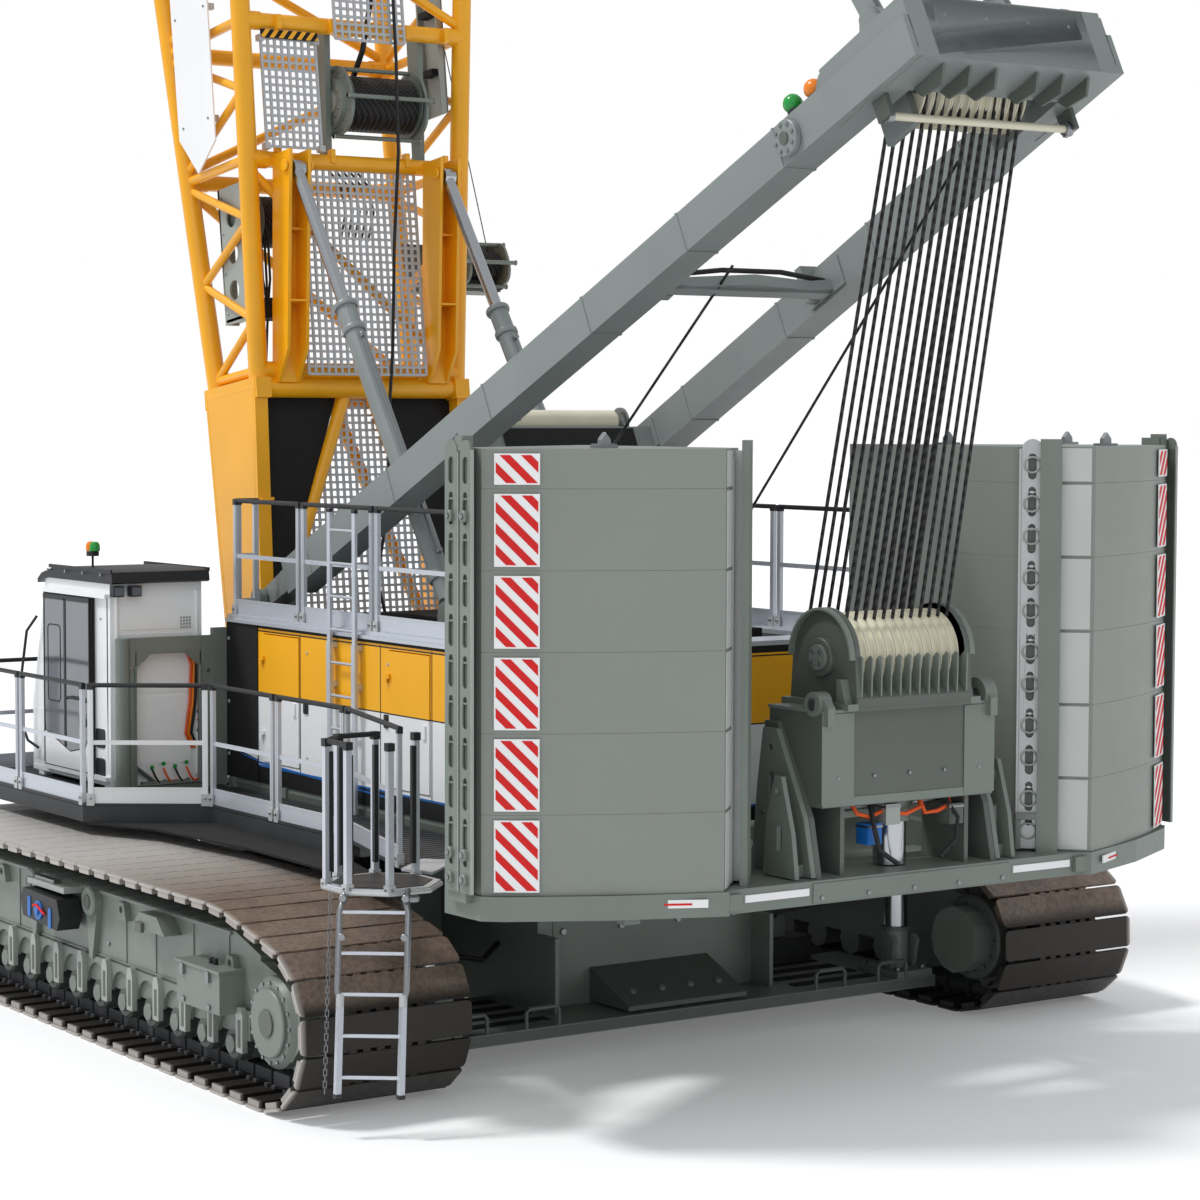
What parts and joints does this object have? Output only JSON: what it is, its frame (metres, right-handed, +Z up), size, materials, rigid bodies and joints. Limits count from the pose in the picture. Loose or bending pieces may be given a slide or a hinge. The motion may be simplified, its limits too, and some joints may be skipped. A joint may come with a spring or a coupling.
{
  "type": "crawler crane",
  "caption": "Crawler crane with lattice boom, gantry mast, backstops, tail ballast, machinery house, side cab and a slewing upperworks on two tracks.",
  "frame": {"origin": "on the ground, at the centre of the crane's plan outline", "axes": "+Z up, +Y forward over the boom side, +X to the machine's right"},
  "size_m": [8.5, 13.4054, 22.3327],
  "materials": {
    "track_steel": "worn, brown-grey",
    "grey_paint": "satin grey-green paint",
    "dark_grey_paint": "satin dark grey paint",
    "ballast_paint": "satin grey paint over castings",
    "house_paint": "gloss yellow over white",
    "boom_yellow": "gloss yellow paint",
    "sheave_nylon": "cream cast nylon",
    "rope_steel": "greased black wire rope",
    "rod_chrome": "polished",
    "walkway_aluminium": "mill finish",
    "white_paint": "gloss white paint",
    "black_plastic": "grained black",
    "door_frame_black": "black frame with dark glass",
    "seat_cloth": "dark woven cloth",
    "hazard_stripes": "red and white reflective stripes",
    "dark_glass": "tinted glass",
    "mesh_steel": "galvanised mesh",
    "hose_orange": "orange hose sleeve",
    "hose_black": "black rubber hose",
    "lamp_lens": "coloured lamp lens",
    "blue_paint": "gloss blue stripe"
  },
  "bodies": {
    "undercarriage": {"right_track": "track_steel", "left_track": "track_steel", "right_side_frame": "grey_paint", "left_side_frame": "grey_paint", "carbody": "grey_paint", "slew_ring": "dark_grey_paint", "front_walkway": "grey_paint", "rear_walkway": "grey_paint"},
    "upperworks": {"upper_frame": "grey_paint", "house_shell": "house_paint", "house_roof": "dark_grey_paint", "engine_block": "dark_grey_paint", "ballast_tray": "grey_paint", "right_ballast_slab_1": "ballast_paint", "left_ballast_slab_1": "ballast_paint", "right_ballast_slab_2": "ballast_paint", "left_ballast_slab_2": "ballast_paint", "right_ballast_slab_3": "ballast_paint", "left_ballast_slab_3": "ballast_paint", "right_ballast_slab_4": "ballast_paint", "left_ballast_slab_4": "ballast_paint", "right_ballast_slab_5": "ballast_paint", "left_ballast_slab_5": "ballast_paint", "right_ballast_slab_6": "ballast_paint", "left_ballast_slab_6": "ballast_paint", "luffing_beam": "dark_grey_paint", "left_catwalk": "walkway_aluminium", "right_catwalk": "walkway_aluminium", "roof_walkway": "walkway_aluminium", "access_ladder": "walkway_aluminium", "roof_ladder": "walkway_aluminium", "exhaust_hood": "white_paint", "cab_shell": "white_paint", "cab_roof_guard": "black_plastic", "cab_bracket": "grey_paint", "operator_seat": "seat_cloth"},
    "right_front_door": {"right_front_service_door": "house_paint"},
    "left_front_door": {"left_front_service_door": "house_paint"},
    "right_rear_door": {"right_rear_service_door": "house_paint"},
    "left_rear_door": {"left_rear_service_door": "house_paint"},
    "cab_side_door": {"cab_door": "door_frame_black"},
    "tail_block_sheaves": {"tail_sheaves": "sheave_nylon"},
    "boom": {"boom_heel": "boom_yellow", "boom_insert": "boom_yellow", "boom_head": "boom_yellow", "boom_winch_frame": "grey_paint", "side_winch": "grey_paint"},
    "winch_drum": {"boom_winch_drum": "rope_steel"},
    "head_sheaves": {"boom_head_sheaves": "sheave_nylon"},
    "hook": {"hook_block": "boom_yellow"},
    "mast": {"gantry_mast": "grey_paint"},
    "mast_head_sheaves": {"mast_sheaves": "sheave_nylon"},
    "pendants": {"right_pendant": "grey_paint", "left_pendant": "grey_paint"},
    "right_barrel": {"right_backstop_barrel": "grey_paint"},
    "left_barrel": {"left_backstop_barrel": "grey_paint"},
    "right_rod": {"right_backstop_rod": "rod_chrome"},
    "left_rod": {"left_backstop_rod": "rod_chrome"}
  },
  "joints": [
    {"name": "slew", "type": "hinge", "parent": "undercarriage", "child": "upperworks", "pos_m": [0, 1.09, 1.56], "axis": [0, 0, 1], "continuous": true},
    {"name": "boom_luff", "type": "hinge", "parent": "upperworks", "child": "boom", "pos_m": [0, 2.99, 2.15], "axis": [1, 0, 0], "range_deg": [-67, 3]},
    {"name": "mast_luff", "type": "hinge", "parent": "upperworks", "child": "mast", "pos_m": [0, 2.54, 3.55], "axis": [1, 0, 0], "range_deg": [-77.28, 3.94]},
    {"name": "pendant_link", "type": "hinge", "parent": "mast", "child": "pendants", "pos_m": [0, -5.86047, 8.22574], "axis": [1, 0, 0], "range_deg": [-0.92, 9.72]},
    {"name": "right_backstop_pivot", "type": "hinge", "parent": "upperworks", "child": "right_barrel", "pos_m": [0.85, -0.21, 3.55], "axis": [1, 0, 0], "range_deg": [-48.41, 2.65]},
    {"name": "left_backstop_pivot", "type": "hinge", "parent": "upperworks", "child": "left_barrel", "pos_m": [-0.85, -0.21, 3.55], "axis": [1, 0, 0], "range_deg": [-48.41, 2.65]},
    {"name": "right_backstop_slide", "type": "slide", "parent": "right_barrel", "child": "right_rod", "axis": [0, 0.5728, 0.8197], "range_m": [-0.1287, 2.8105]},
    {"name": "left_backstop_slide", "type": "slide", "parent": "left_barrel", "child": "left_rod", "axis": [0, 0.5728, 0.8197], "range_m": [-0.1287, 2.8105]},
    {"name": "hook_hang", "type": "hinge", "parent": "boom", "child": "hook", "pos_m": [0, 5.98321, 21.93268], "axis": [1, 0, 0], "range_deg": [-3.5, 67.5]},
    {"name": "winch_drum_turn", "type": "hinge", "parent": "boom", "child": "winch_drum", "pos_m": [0.26, 3.13387, 8.40912], "axis": [1, 0, 0], "continuous": true},
    {"name": "head_sheave_turn", "type": "hinge", "parent": "boom", "child": "head_sheaves", "pos_m": [0, 5.98321, 21.93268], "axis": [1, 0, 0], "continuous": true},
    {"name": "mast_sheave_turn", "type": "hinge", "parent": "mast", "child": "mast_head_sheaves", "pos_m": [0, -5.94045, 7.71957], "axis": [1, 0, 0], "continuous": true},
    {"name": "tail_sheave_turn", "type": "hinge", "parent": "upperworks", "child": "tail_block_sheaves", "pos_m": [0, -5.17, 3.49], "axis": [1, 0, 0], "continuous": true},
    {"name": "cab_door_slide", "type": "slide", "parent": "upperworks", "child": "cab_side_door", "axis": [0, -1, 0], "range_m": [0, 0.7]},
    {"name": "right_front_door_swing", "type": "hinge", "parent": "upperworks", "child": "right_front_door", "pos_m": [1.776, 1.71, 2.7], "axis": [0, 0, 1], "range_deg": [0, 90]},
    {"name": "left_front_door_swing", "type": "hinge", "parent": "upperworks", "child": "left_front_door", "pos_m": [-1.776, 1.71, 2.7], "axis": [0, 0, -1], "range_deg": [0, 90]},
    {"name": "right_rear_door_swing", "type": "hinge", "parent": "upperworks", "child": "right_rear_door", "pos_m": [1.776, -0.61, 2.7], "axis": [0, 0, 1], "range_deg": [0, 90]},
    {"name": "left_rear_door_swing", "type": "hinge", "parent": "upperworks", "child": "left_rear_door", "pos_m": [-1.776, -0.61, 2.7], "axis": [0, 0, -1], "range_deg": [0, 90]}
  ],
  "couplings": [
    {"joint": "mast_luff", "follows": "boom_luff", "ratio": 1.1459},
    {"joint": "pendant_link", "follows": "boom_luff", "ratio": -0.1375},
    {"joint": "right_backstop_pivot", "follows": "boom_luff", "ratio": 0.715},
    {"joint": "left_backstop_pivot", "follows": "boom_luff", "ratio": 0.715},
    {"joint": "right_backstop_slide", "follows": "boom_luff", "m_per_rad": -2.4},
    {"joint": "left_backstop_slide", "follows": "boom_luff", "m_per_rad": -2.4},
    {"joint": "hook_hang", "follows": "boom_luff", "ratio": -1}
  ]
}
